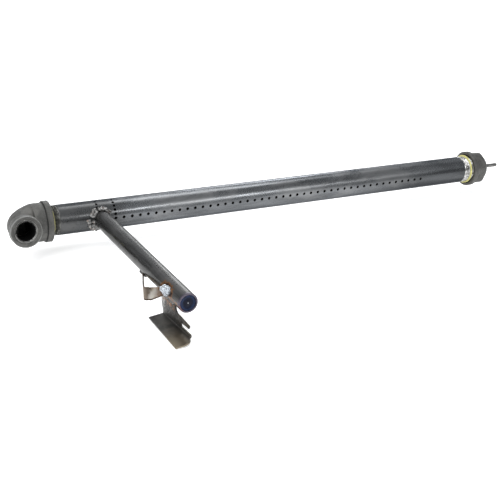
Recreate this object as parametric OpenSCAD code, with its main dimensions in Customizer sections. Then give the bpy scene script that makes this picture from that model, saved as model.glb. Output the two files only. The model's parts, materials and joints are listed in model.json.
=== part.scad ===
// Pipe gas burner with flash tube, strap and pilot bracket.
// Millimetres. +X runs along the main pipe to the locating pin, -Y to the flash tube's end, +Z up.
// The origin is on the main pipe's axis, at the locating pin's shoulder, where its weld ends.

/* [Main pipe] */
// outside diameter of the main pipe (1 in nominal)
pipe_od = 33.4; // [26.7:0.1:48.3]
// wall thickness of the main pipe
pipe_wall = 3.4; // [2:0.1:5]
// length of the main pipe, thread to thread
pipe_length = 593; // [300:1:1200]
// length of each threaded end
thread_length = 25; // [15:0.5:32]
// thread pitch, 11.5 threads per inch
thread_pitch = 2.209; // [1.4:0.001:3]
// depth of the thread below the pipe's surface
thread_depth = 0.9; // [0.4:0.05:1.6]

/* [Gas ports] */
// number of ports in the long front row
port_count = 44; // [10:1:80]
// spacing of the ports in the front row
port_pitch = 9.525; // [6:0.005:16]
// diameter of each port
port_d = 3.2; // [1.5:0.1:5]
// distance from the cap's face back to the first port
first_port_back = 522.5; // [300:0.5:1000]
// ports in each row that climbs over the pipe beside the flash tube
climb_count = 5; // [2:1:8]
// angle between ports in a climbing row
climb_step = 16.36; // [10:0.01:24]
// diameter of the ports in the climbing rows
climb_d = 2.8; // [1.5:0.1:5]
// distance between the two climbing rows
climb_rows_apart = 19.05; // [12:0.05:40]

/* [End cap] */
// radius of the cap's banded mouth
cap_band_r = 22.4; // [18:0.1:30]
// width of the band
cap_band_w = 6.5; // [4:0.5:12]
// radius of the cap's body at its rounded corners
cap_body_r = 21.3; // [18:0.1:28]
// width of the cap's hexagon across its flats
cap_flats = 38.8; // [34:0.1:52]
// turn of the hexagon about the pipe's axis
cap_turn = 15; // [0:1:59]
// length of the whole cap
cap_length = 29.5; // [20:0.5:45]
// height of the cap's crowned end
cap_crown = 10.1; // [4:0.1:14]
// radius of the flat at the middle of the crown
cap_flat_r = 8; // [5:0.5:14]

/* [Locating pin] */
// diameter of the locating pin
pin_d = 4.76; // [3:0.01:10]
// length of the pin beyond its shoulder
pin_length = 14.5; // [8:0.5:60]
// length of the weld cone between the cap's face and the shoulder
pin_weld_l = 9; // [3:0.5:12]
// bevel at the pin's free end
pin_bevel = 0.6; // [0:0.1:1.5]

/* [Inlet elbow] */
// distance from the cap's face back to the elbow's centre
elbow_back = 626.1; // [350:0.1:1300]
// distance from the elbow's centre to its pipe face
elbow_run = 33.6; // [28:0.1:45]
// distance from the elbow's centre to the inlet face
inlet_reach = 34.5; // [26:0.1:50]
// upward tilt of the inlet
inlet_tilt = 6.6; // [0:0.1:30]
// radius of the pipe side band
elbow_band_r = 22.6; // [18:0.1:30]
// width of the pipe side band
elbow_band_w = 6.8; // [5:0.1:14]
// radius of the inlet band
inlet_band_r = 16.9; // [14:0.1:26]
// width of the inlet band
inlet_band_w = 7; // [4:0.1:12]
// radius of the elbow's body
elbow_body_r = 19.8; // [16:0.1:26]
// radius of the inlet thread
inlet_thread_r = 9.9; // [7:0.05:14]
// length of the inlet thread
inlet_thread_l = 15; // [8:0.5:22]

/* [Flash tube] */
// outside diameter of the flash tube
tube_od = 19.05; // [12:0.05:26]
// wall thickness of the flash tube
tube_wall = 1.65; // [0.8:0.05:3]
// distance from the main pipe's axis to the tube's end
tube_reach = 247.8; // [120:0.1:500]
// distance from the first port back to the tube's axis
tube_back = 15.07; // [10:0.01:40]
// diameter of the small ports along the tube
tube_port_d = 1.2; // [0.8:0.1:2.5]
// spacing of the small ports
tube_port_pitch = 4.7625; // [3:0.01:12]
// number of small ports
tube_port_count = 41; // [10:1:60]
// lean of the small ports from straight up
tube_port_lean = 12; // [0:1:45]

/* [Strap] */
// width of the strap
strap_w = 12.6; // [8:0.1:20]
// thickness of the strap
strap_t = 1.5; // [0.8:0.1:3]
// tilt of the strap
strap_tilt = 11; // [0:1:30]
// bend angle at the strap's corner
strap_bend = 110.3; // [60:0.1:150]
// inside radius of the strap's bend
strap_bend_r = 2.5; // [1:0.1:6]

/* [Pilot bracket] */
// thickness of the pilot bracket's sheet
sheet_t = 1.5; // [0.8:0.1:3]
// length of the bracket along the tube
bracket_l = 57.5; // [30:0.5:90]
// drop from the tube's axis to the flange's top face
flange_drop = 30; // [20:0.5:50]
// width of the flange at its wide end
flange_w = 20.5; // [12:0.5:35]
// downward tilt of the flange
flange_tilt = 7; // [0:0.5:15]
// height of the open slot
slot_h = 3.6; // [2:0.1:6]
// length of the open slot
slot_l = 18; // [6:0.5:30]

/* [Hidden] */
pipe_r = pipe_od / 2;
pipe_bore_r = pipe_r - pipe_wall;
thread_root_r = pipe_r - thread_depth;
cap_face_x = -pin_weld_l;
cap_mouth_x = cap_face_x - cap_length;
cap_ring_x = cap_face_x - cap_crown;
pipe_right_x = cap_face_x - 16.5;
pipe_left_x = pipe_right_x - pipe_length;
port_x0 = cap_face_x - first_port_back;
tube_x = port_x0 - tube_back;
tube_r = tube_od / 2;
tube_bore_r = tube_r - tube_wall;
elbow_x = cap_face_x - elbow_back;
elbow_face_x = elbow_x + elbow_run;
socket_r = pipe_r - thread_depth * 0.45;
seat_gap = 0.05;
pin_root_r = pin_d / 2 - 0.5;
plug_t = 1.6;
plug_set = 0.5;
bracket_x = tube_x + 0.1;
bracket_y = -257;
bracket_turn = 3;
corner_x = tube_x - 27.5;
corner_y = -212;
corner_z = -1.7;
strap_a_l = 16.2;
strap_b_l = 66.5;
strap_end_a = 270 - strap_bend;
strap_arc_steps = 14;

// a cylinder along +X from x0
module x_cyl(x0, l, r1, r2) {
    translate([x0, 0, 0])
        rotate([0, 90, 0])
            cylinder(h = l, r1 = r1, r2 = r2, $fn = 96);
}

// a hexagonal bar along +X from x0, with corners facing front and back
module x_hex(x0, l, r) {
    translate([x0, 0, 0])
        rotate([0, 90, 0])
            rotate([0, 0, 90])
                cylinder(h = l, r = r, $fn = 6);
}

// a ring groove of thread form round the X axis
module thread_groove(x0) {
    translate([x0, 0, 0])
        rotate([0, 90, 0])
            rotate_extrude($fn = 96)
                polygon([
                    [thread_root_r, 0.12 * thread_pitch],
                    [pipe_r + 0.3, -0.48 * thread_pitch],
                    [pipe_r + 0.3, 0.48 * thread_pitch],
                    [thread_root_r, -0.12 * thread_pitch]
                ]);
}

// one port drilled in towards the X axis; angle 0 faces the front, 90 faces up
module port(x, angle, d) {
    translate([x, 0, 0])
        rotate([-angle, 0, 0])
            translate([0, -pipe_bore_r + 2, 0])
                rotate([90, 0, 0])
                    cylinder(h = pipe_wall + 4, d = d, $fn = 20);
}

// the solid the flash tube fills
module tube_solid(extra) {
    translate([tube_x, -2, 0])
        rotate([90, 0, 0])
            cylinder(h = tube_reach + 8, r = tube_r + extra, $fn = 72);
}

module main_pipe() {
    color([0.27, 0.28, 0.30])
    difference() {
        union() {
            x_cyl(pipe_left_x + thread_length, pipe_length - 2 * thread_length, pipe_r, pipe_r);
            x_cyl(pipe_right_x - thread_length - 0.01, 13, pipe_r, pipe_r);
            x_cyl(pipe_right_x - 13.1, 13.1, socket_r, socket_r);
            x_cyl(pipe_left_x + 17, thread_length - 16.9, pipe_r, pipe_r);
            x_cyl(pipe_left_x, 17.1, socket_r, socket_r);
        }
        x_cyl(pipe_left_x - 1, pipe_length + 2, pipe_bore_r, pipe_bore_r);
        for (k = [0 : 4]) {
            thread_groove(pipe_right_x - thread_length + 1.4 + k * thread_pitch);
        }
        for (k = [0 : 2]) {
            thread_groove(pipe_left_x + thread_length - 1.4 - k * thread_pitch);
        }
        for (k = [0 : port_count - 1]) {
            port(port_x0 + k * port_pitch, 0, port_d);
        }
        for (k = [1 : climb_count]) {
            port(port_x0, k * climb_step, climb_d);
            port(port_x0 - climb_rows_apart, k * climb_step, climb_d);
        }
        translate([tube_x, -pipe_bore_r + 4, 0])
            rotate([90, 0, 0])
                cylinder(h = pipe_wall + 8, r = tube_bore_r - 0.4, $fn = 48);
    }
}

module end_cap() {
    color([0.42, 0.42, 0.40])
    difference() {
        union() {
            rotate([0, 90, 0])
                rotate_extrude($fn = 96)
                    polygon([
                        [0, cap_mouth_x],
                        [cap_band_r - 0.8, cap_mouth_x],
                        [cap_band_r, cap_mouth_x + 0.8],
                        [cap_band_r, cap_mouth_x + cap_band_w - 0.8],
                        [cap_band_r - 0.8, cap_mouth_x + cap_band_w],
                        [0, cap_mouth_x + cap_band_w]
                    ]);
            intersection() {
                rotate([0, 90, 0])
                    rotate_extrude($fn = 96)
                        polygon([
                            [0, cap_mouth_x + cap_band_w - 1],
                            [cap_body_r, cap_mouth_x + cap_band_w - 1],
                            [cap_body_r, cap_ring_x - 1.0],
                            [cap_body_r - 1.4, cap_ring_x + 0.8],
                            [cap_body_r * 0.84, cap_ring_x + cap_crown * 0.42],
                            [cap_body_r * 0.68, cap_ring_x + cap_crown * 0.72],
                            [cap_body_r * 0.50, cap_ring_x + cap_crown * 0.93],
                            [cap_flat_r, cap_face_x],
                            [0, cap_face_x]
                        ]);
                rotate([-cap_turn, 0, 0])
                    x_hex(cap_mouth_x + 1, cap_length, cap_flats / 2 / cos(30));
            }
        }
        x_cyl(cap_mouth_x - 1, cap_length - 14.5, socket_r + seat_gap, socket_r + seat_gap);
        x_cyl(cap_mouth_x - 1, 2.6, socket_r + 1.5, socket_r + 0.1);
        x_cyl(cap_mouth_x + 10, cap_length - 15.5, pipe_bore_r + 0.5, pipe_bore_r - 3);
    }
}

module locating_pin() {
    color([0.45, 0.45, 0.45])
    rotate([0, 90, 0])
        rotate_extrude($fn = 48)
            polygon([
                [0, cap_face_x],
                [pin_root_r, cap_face_x],
                [pin_root_r, 0],
                [pin_d / 2, 0],
                [pin_d / 2, pin_length - pin_bevel],
                [pin_d / 2 - pin_bevel, pin_length],
                [0, pin_length]
            ]);
}

module pin_weld() {
    color([0.36, 0.36, 0.37])
    rotate([0, 90, 0])
        rotate_extrude($fn = 48)
            polygon([
                [pin_root_r, cap_face_x],
                [6.0, cap_face_x],
                [5.4, cap_face_x + pin_weld_l * 0.2],
                [4.4, cap_face_x + pin_weld_l * 0.5],
                [3.2, cap_face_x + pin_weld_l * 0.82],
                [pin_root_r, 0]
            ]);
}

module inlet_elbow() {
    color([0.42, 0.42, 0.40])
    difference() {
        union() {
            x_cyl(elbow_face_x - elbow_band_w, elbow_band_w - 0.8, elbow_band_r, elbow_band_r);
            x_cyl(elbow_face_x - 0.81, 0.81, elbow_band_r, elbow_band_r - 0.8);
            x_cyl(elbow_face_x - elbow_band_w - 2.4, 2.41, elbow_body_r, elbow_band_r);
            x_cyl(elbow_x, elbow_run - elbow_band_w - 1, elbow_body_r, elbow_body_r);
            translate([elbow_x, 0, 0])
                sphere(r = elbow_body_r, $fn = 72);
            translate([elbow_x, 0, 0])
                rotate([90 - inlet_tilt, 0, 0]) {
                    cylinder(h = inlet_reach - 4, r1 = elbow_body_r - 0.6, r2 = inlet_band_r - 2.4, $fn = 72);
                    translate([0, 0, inlet_reach - inlet_band_w - 2])
                        cylinder(h = 2.01, r1 = inlet_band_r - 1.5, r2 = inlet_band_r, $fn = 72);
                    translate([0, 0, inlet_reach - inlet_band_w])
                        cylinder(h = inlet_band_w - 0.8, r = inlet_band_r, $fn = 72);
                    translate([0, 0, inlet_reach - 0.81])
                        cylinder(h = 0.81, r1 = inlet_band_r, r2 = inlet_band_r - 0.8, $fn = 72);
                }
        }
        x_cyl(elbow_face_x - 18, 19, socket_r + seat_gap, socket_r + seat_gap);
        x_cyl(elbow_face_x - 1.6, 2.6, socket_r + 0.1, socket_r + 1.5);
        x_cyl(elbow_x, elbow_run, pipe_bore_r, pipe_bore_r);
        translate([elbow_x, 0, 0])
            sphere(r = pipe_bore_r, $fn = 48);
        translate([elbow_x, 0, 0])
            rotate([90 - inlet_tilt, 0, 0]) {
                cylinder(h = inlet_reach - inlet_thread_l, r = inlet_thread_r - 0.9, $fn = 64);
                translate([0, 0, inlet_reach - 1.2 - inlet_thread_l])
                    cylinder(h = inlet_thread_l + 2, r = inlet_thread_r, $fn = 64);
                translate([0, 0, inlet_reach - 1.2])
                    cylinder(h = 2.4, r1 = inlet_thread_r, r2 = inlet_thread_r + 2.4, $fn = 64);
            }
    }
}

module elbow_sealant() {
    color([0.78, 0.74, 0.50])
    difference() {
        rotate([0, 90, 0])
            rotate_extrude($fn = 72)
                polygon([
                    [pipe_r, elbow_face_x + 0.02],
                    [pipe_r + 2.6, elbow_face_x + 0.02],
                    [pipe_r + 2.3, elbow_face_x + 1.3],
                    [pipe_r + 1.0, elbow_face_x + 2.8],
                    [pipe_r, elbow_face_x + 3.4]
                ]);
        x_cyl(elbow_face_x - 1, 6, pipe_r, pipe_r);
    }
}

module cap_sealant() {
    color([0.78, 0.74, 0.43])
    difference() {
        rotate([0, 90, 0])
            rotate_extrude($fn = 72)
                polygon([
                    [pipe_r, cap_mouth_x - 4.2],
                    [pipe_r + 1.6, cap_mouth_x - 3.9],
                    [pipe_r + 2.9, cap_mouth_x - 2.7],
                    [pipe_r + 2.5, cap_mouth_x - 0.9],
                    [pipe_r + 1.4, cap_mouth_x - 0.02],
                    [pipe_r, cap_mouth_x - 0.02]
                ]);
        x_cyl(cap_mouth_x - 5, 6, pipe_r, pipe_r);
    }
}

module flash_tube() {
    color([0.24, 0.24, 0.25])
    difference() {
        translate([tube_x, 0, 0])
            rotate([90, 0, 0])
                cylinder(h = tube_reach, r = tube_r, $fn = 72);
        translate([tube_x, 1, 0])
            rotate([90, 0, 0])
                cylinder(h = tube_reach + 2, r = tube_bore_r, $fn = 72);
        x_cyl(tube_x - 30, 60, pipe_r, pipe_r);
        for (k = [0 : tube_port_count - 1]) {
            translate([tube_x, -34 - k * tube_port_pitch, 0])
                rotate([0, -tube_port_lean, 0])
                    translate([0, 0, tube_bore_r - 1])
                        cylinder(h = tube_wall + 3, d = tube_port_d, $fn = 14);
        }
    }
}

module tube_plug() {
    color([0.16, 0.17, 0.27])
    difference() {
        translate([tube_x, -tube_reach + plug_set + plug_t, 0])
            rotate([90, 0, 0])
                cylinder(h = plug_t, r = tube_bore_r, $fn = 72);
        translate([tube_x, -tube_reach + plug_set + 0.9, 0])
            rotate([90, 0, 0])
                cylinder(h = 1, r1 = 0.1, r2 = 1.4, $fn = 32);
    }
}

// a bead round the tube's root between two angles; 0 faces +X, 90 faces up
module root_bead(from, sweep, fat) {
    difference() {
        translate([tube_x, -pipe_r + 2.4, 0])
            rotate([90, 0, 0])
                rotate([0, 0, from])
                    rotate_extrude(angle = sweep, $fn = 72)
                        polygon([
                            [tube_r - 1, -3],
                            [tube_r + fat, -3],
                            [tube_r + fat, 0.6],
                            [tube_r + fat * 0.72, 2.0],
                            [tube_r + fat * 0.35, 3.1],
                            [tube_r, 3.9],
                            [tube_r - 1, 3.9]
                        ]);
        tube_solid(0);
        x_cyl(tube_x - 30, 60, pipe_r, pipe_r);
    }
}

module root_weld_side() {
    color([0.33, 0.32, 0.31])
    root_bead(172, 72, 6.6);
}

module root_weld_shoulder() {
    color([0.33, 0.32, 0.31])
    root_bead(120, 38, 5.8);
}

module root_weld_top() {
    color([0.33, 0.32, 0.31])
    root_bead(38, 66, 4.2);
}

// a point of the strap's plan, at a radius and an angle round the bend's centre
function strap_arc(r, angle) = [
    strap_bend_r + strap_t + r * cos(angle),
    strap_bend_r + strap_t + r * sin(angle)
];

// the end of the strap's long leg, on the face at radius r
function strap_leg_end(r) = strap_arc(r, strap_end_a) + strap_b_l * [sin(strap_end_a), -cos(strap_end_a)];

// the strap's bent strip before the tube is cut away
module strap_strip() {
    translate([corner_x, corner_y, corner_z])
        rotate([-strap_tilt, 0, 0])
            translate([0, 0, -strap_w / 2])
                linear_extrude(height = strap_w)
                    polygon(concat(
                        [[strap_bend_r + strap_t + strap_a_l, 0]],
                        [for (k = [0 : strap_arc_steps])
                            strap_arc(strap_bend_r + strap_t, 270 - strap_bend * k / strap_arc_steps)],
                        [strap_leg_end(strap_bend_r + strap_t), strap_leg_end(strap_bend_r)],
                        [for (k = [strap_arc_steps : -1 : 0])
                            strap_arc(strap_bend_r, 270 - strap_bend * k / strap_arc_steps)],
                        [[strap_bend_r + strap_t + strap_a_l, strap_t]]
                    ));
}

module pilot_strap() {
    color([0.60, 0.54, 0.47])
    difference() {
        strap_strip();
        tube_solid(0.02);
    }
}

// a rounded bead along Y
module bead(x, y, z, l, r) {
    translate([x, y + l / 2, z])
        rotate([90, 0, 0])
            cylinder(h = l, r = r, $fn = 40);
    translate([x, y + l / 2, z])
        sphere(r = r, $fn = 40);
    translate([x, y - l / 2, z])
        sphere(r = r, $fn = 40);
}

module strap_weld_front() {
    color([0.62, 0.66, 0.70])
    difference() {
        bead(tube_x - 9.2, -217.5, 0.2, 8, 4.6);
        tube_solid(0);
        strap_strip();
    }
}

module strap_weld_back() {
    color([0.33, 0.30, 0.28])
    difference() {
        bead(tube_x - 4.2, -149, -9.9, 10, 2.6);
        tube_solid(0);
        strap_strip();
    }
}

module bracket_frame() {
    translate([bracket_x, bracket_y, 0])
        rotate([0, 0, bracket_turn])
            children();
}

module bracket_web() {
    bracket_frame()
        rotate([90, 0, 90])
            translate([0, 0, -sheet_t])
                linear_extrude(height = sheet_t)
                    polygon([
                        [0, -flange_drop - sheet_t],
                        [0, -flange_drop],
                        [1.5, -flange_drop + 2.7],
                        [slot_l, -flange_drop + 2.7],
                        [slot_l + 1.2, -flange_drop + 2.7 + slot_h * 0.3],
                        [slot_l + 1.2, -flange_drop + 2.7 + slot_h * 0.7],
                        [slot_l, -flange_drop + 2.7 + slot_h],
                        [4.8, -flange_drop + 2.7 + slot_h],
                        [3, -flange_drop + 9.8],
                        [28, -flange_drop + 12.3],
                        [31, -flange_drop + 15],
                        [32.5, -5],
                        [62.5, -5],
                        [61, -flange_drop + 11],
                        [bracket_l, -flange_drop],
                        [bracket_l, -flange_drop - sheet_t]
                    ]);
}

module bracket_flange() {
    bracket_frame()
        translate([-0.75, 0, -flange_drop])
            rotate([0, -flange_tilt, 0])
                translate([0, 0, -sheet_t])
                    linear_extrude(height = sheet_t)
                        polygon([
                            [0, 0.8],
                            [-0.6, -2.4],
                            [-3.4, -6.4],
                            [-8, -8.6],
                            [-flange_w, -8.2],
                            [-flange_w + 4.5, bracket_l + 1],
                            [-2, bracket_l - 0.2],
                            [0, bracket_l - 0.2]
                        ]);
}

module pilot_bracket() {
    color([0.36, 0.35, 0.32])
    difference() {
        union() {
            bracket_web();
            bracket_flange();
        }
        tube_solid(0.02);
    }
}

module bracket_weld() {
    color([0.40, 0.34, 0.29])
    difference() {
        bead(tube_x - 3.6, -212, -9.6, 22, 2.2);
        tube_solid(0);
        bracket_web();
        strap_strip();
        strap_weld_cut();
    }
}

// the envelope of the front strap weld, cut from its neighbour
module strap_weld_cut() {
    bead(tube_x - 9.2, -217.5, 0.2, 8, 4.6);
}

main_pipe();
inlet_elbow();
elbow_sealant();
end_cap();
cap_sealant();
locating_pin();
pin_weld();
flash_tube();
tube_plug();
root_weld_side();
root_weld_shoulder();
root_weld_top();
pilot_strap();
strap_weld_front();
strap_weld_back();
pilot_bracket();
bracket_weld();
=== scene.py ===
"""The looks of a pipe gas burner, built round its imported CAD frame.

Metres, in the row's frame: +X along the main pipe to the locating pin, -Y along the flash tube,
+Z up, with the origin on the main pipe's axis at the pin's shoulder.
"""

import json
import math

import bmesh
import bpy
from mathutils import Matrix, Vector, noise


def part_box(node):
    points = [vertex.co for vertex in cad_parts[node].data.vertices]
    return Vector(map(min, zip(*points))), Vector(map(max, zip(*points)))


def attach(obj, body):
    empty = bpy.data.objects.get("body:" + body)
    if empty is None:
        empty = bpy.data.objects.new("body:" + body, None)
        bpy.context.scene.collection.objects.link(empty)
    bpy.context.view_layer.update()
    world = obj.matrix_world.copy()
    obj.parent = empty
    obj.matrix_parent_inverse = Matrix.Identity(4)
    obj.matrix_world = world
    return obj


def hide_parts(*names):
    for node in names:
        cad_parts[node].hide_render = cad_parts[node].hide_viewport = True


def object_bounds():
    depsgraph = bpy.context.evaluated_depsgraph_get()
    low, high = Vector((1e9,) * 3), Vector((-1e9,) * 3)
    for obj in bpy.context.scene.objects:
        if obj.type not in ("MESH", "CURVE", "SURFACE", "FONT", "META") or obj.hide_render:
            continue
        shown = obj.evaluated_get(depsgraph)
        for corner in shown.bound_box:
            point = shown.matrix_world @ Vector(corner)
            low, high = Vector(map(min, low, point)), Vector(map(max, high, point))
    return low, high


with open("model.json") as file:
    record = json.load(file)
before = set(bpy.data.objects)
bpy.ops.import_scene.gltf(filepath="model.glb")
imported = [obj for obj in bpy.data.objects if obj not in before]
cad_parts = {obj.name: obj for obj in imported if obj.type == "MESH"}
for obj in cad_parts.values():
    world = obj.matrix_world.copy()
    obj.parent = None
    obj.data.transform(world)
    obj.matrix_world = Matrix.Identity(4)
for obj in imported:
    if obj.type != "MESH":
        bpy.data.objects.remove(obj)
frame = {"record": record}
CAD_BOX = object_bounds()
MOUNTS = {m["name"]: m for m in frame["record"]["mounts"]}
MM = 0.001
SCENE = bpy.context.scene

# ---------------------------------------------------------------- sizes, read from the frame

PIPE_LO, PIPE_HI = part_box("main_pipe")
TUBE_LO, TUBE_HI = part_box("flash_tube")
PLUG_LO, PLUG_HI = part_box("tube_plug")
CAP_LO, CAP_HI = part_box("end_cap")
ELBOW_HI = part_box("inlet_elbow")[1]
PIN_LO, PIN_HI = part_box("locating_pin")
STRAP_LO, STRAP_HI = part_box("pilot_strap")

PIPE_R = PIPE_HI[2]
PIPE_BORE_R = PIPE_R - 3.4 * MM
THREAD_PITCH = 2.209 * MM
THREAD_DEPTH = 1.15 * MM
THREAD_LENGTH = 25 * MM
TAPER = 1 / 32

PORT_COUNT = 44
PORT_PITCH = 9.525 * MM
PORT_R = 1.6 * MM
CLIMB_COUNT = 5
CLIMB_STEP = math.radians(16.36)
CLIMB_R = 1.4 * MM
CLIMB_ROWS_APART = 19.05 * MM

TUBE_X = (TUBE_LO[0] + TUBE_HI[0]) / 2
TUBE_R = (TUBE_HI[0] - TUBE_LO[0]) / 2
TUBE_BORE_R = TUBE_R - 1.65 * MM
TUBE_END_Y = TUBE_LO[1]
TUBE_PORT_R = 0.6 * MM
TUBE_PORT_PITCH = 4.7625 * MM
TUBE_PORT_COUNT = 41
TUBE_PORT_LEAN = math.radians(12)
FIRST_PORT_X = TUBE_X + 15.07 * MM

FITTING_BORE_R = PIPE_R - 0.3 * MM
ELBOW_BAND_W = 6.8 * MM
ELBOW_BAND_X = ELBOW_HI[0] - ELBOW_BAND_W
INLET_REACH = 34.5 * MM  # from where the elbow's axes meet to its small end's face
INLET_BAND_R = 16.9 * MM
INLET_AXIS = Vector(MOUNTS["inlet"]["axis"])
INLET_FACE = Vector(MOUNTS["inlet"]["pos_m"]) + INLET_AXIS * 1.2 * MM
ELBOW_AT = INLET_FACE - INLET_AXIS * INLET_REACH
INLET_THREAD_R = MOUNTS["inlet"]["dims"]["r_mm"] * MM

ON_TUBE = Matrix.Translation((TUBE_X, 0, 0)) @ Matrix.Rotation(-math.pi / 2, 4, "Z")  # +X to the tube's end
STRAP_CORNER = Vector((TUBE_X - 27.5 * MM, -212 * MM, -1.7 * MM))
STRAP_TILT = math.radians(11)
STRAP_W, STRAP_T, STRAP_BEND_R = 12.6 * MM, 1.5 * MM, 2.5 * MM
STRAP_BEND = math.radians(110.3)
STRAP_LEG_A, STRAP_LEG_B, LEG_A_STEPS = 16.2 * MM, 66.5 * MM, 12
WELD_FRONT = Vector((TUBE_X - 9.3 * MM, -218.6 * MM, 1.8 * MM))


# ---------------------------------------------------------------- materials

class Nodes:
    """A node tree, built one socket at a time. Places are in metres, in the row's frame."""

    def __init__(self, tree, place):
        self.nodes, self.links = tree.nodes, tree.links
        self.place = self.nodes.new("ShaderNodeTexCoord").outputs[place]

    def put(self, socket, value):
        """Sets a socket from a number, a colour or another socket."""
        if isinstance(value, bpy.types.NodeSocket):
            self.links.new(value, socket)
        elif isinstance(value, (tuple, list)) and len(value) == 3 and socket.type == "RGBA":
            socket.default_value = (*value, 1.0)
        else:
            socket.default_value = value

    def add(self, kind, inputs, output=0, **settings):
        """Adds a node with its settings and inputs, and returns one of its outputs."""
        node = self.nodes.new("ShaderNode" + kind)
        for name, value in settings.items():
            setattr(node, name, value)
        for key, value in inputs.items():
            self.put(node.inputs[key], value)
        return node.outputs[output]

    def vector(self, operation, *values, output=0):
        return self.add("VectorMath", dict(enumerate(values)), output, operation=operation)

    def stretch(self, along):
        """The place, scaled along each axis."""
        return self.vector("MULTIPLY", self.place, along)

    def noise(self, size, detail=4.0, roughness=0.55, warp=0.0, place=None):
        """Noise whose features are about this many metres across."""
        inputs = {"Vector": place or self.place, "Scale": 1.0 / size, "Detail": detail}
        return self.add("TexNoise", {**inputs, "Roughness": roughness, "Distortion": warp}, "Fac")

    def cells(self, size):
        """Distance to the nearest of points about this many metres apart, in cells."""
        return self.add("TexVoronoi", {"Vector": self.place, "Scale": 1.0 / size}, "Distance", feature="F1")

    def axis(self, index):
        return self.add("SeparateXYZ", {0: self.place}, index)

    def math(self, operation, *values):
        return self.add("Math", dict(enumerate(values)), operation=operation)

    def times(self, first, second):
        return self.math("MULTIPLY", first, second)

    def plus(self, first, second):
        return self.math("ADD", first, second)

    def either(self, first, second):
        return self.math("MAXIMUM", first, second)

    def less(self, value):
        """What is left of 1."""
        return self.math("SUBTRACT", 1.0, value)

    def span(self, value, low, high, out_low=0.0, out_high=1.0, smooth=True):
        """Maps low..high to out_low..out_high, held at the ends."""
        inputs = {"Value": value, "From Min": low, "From Max": high, "To Min": out_low, "To Max": out_high}
        return self.add("MapRange", inputs, interpolation_type="SMOOTHSTEP" if smooth else "LINEAR")

    def ragged(self, field, grain, reach):
        """A field with its edge moved in and out by noise."""
        return self.plus(field, self.span(grain, 0.2, 0.8, -reach, reach))

    def away(self, point, along=(1, 1, 1)):
        """Distance from a point, with each axis weighted."""
        offset = self.vector("MULTIPLY", self.vector("SUBTRACT", self.place, point), along)
        return self.vector("LENGTH", offset, output="Value")

    def inward(self, point, axis, radius, soft):
        """1 within this radius of a line, 0 outside it."""
        across = self.vector("CROSS_PRODUCT", self.vector("SUBTRACT", self.place, point), axis)
        return self.span(self.vector("LENGTH", across, output="Value"), radius - soft, radius, 1.0, 0.0)

    def depth(self, point, axis):
        """How far behind a point the place lies, against an axis."""
        return self.vector("DOT_PRODUCT", self.vector("SUBTRACT", point, self.place), axis, output="Value")

    def mix(self, factor, first, second):
        """Mixes two colours; a Mix node's colours are its inputs 6 and 7 and its output 2."""
        return self.add("Mix", {"Factor": factor, 6: first, 7: second}, 2, data_type="RGBA")

    def ramp(self, factor, *stops):
        """A colour ramp from (place, colour) stops."""
        node = self.nodes.new("ShaderNodeValToRGB")
        self.put(node.inputs[0], factor)
        band = node.color_ramp
        while len(band.elements) < len(stops):
            band.elements.new(0.5)
        for element, (place, colour) in zip(band.elements, stops):
            element.position = place
            element.color = (*colour, 1.0)
        return node.outputs[0]


class Shader(Nodes):
    """A material with one Principled surface."""

    def __init__(self, name):
        self.material = bpy.data.materials.new(name)
        self.material.use_nodes = True
        tree = self.material.node_tree
        tree.nodes.clear()
        super().__init__(tree, "Object")
        out = self.nodes.new("ShaderNodeOutputMaterial")
        self.face = self.nodes.new("ShaderNodeBsdfPrincipled")
        self.links.new(self.face.outputs["BSDF"], out.inputs["Surface"])

    def set(self, **sockets):
        for name, value in sockets.items():
            self.put(self.face.inputs[name.replace("_", " ").title().replace("Ior", "IOR")], value)

    def bump(self, *layers):
        """Bump from (height, metres deep) layers, coarsest first."""
        normal = None
        for height, depth in layers:
            inputs = {"Strength": 1.0, "Distance": depth, "Height": height}
            if normal:
                inputs["Normal"] = normal
            normal = self.add("Bump", inputs)
        self.put(self.face.inputs["Normal"], normal)


def grey(value, tint=(1, 1, 1)):
    return tuple(value * t for t in tint)


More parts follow.
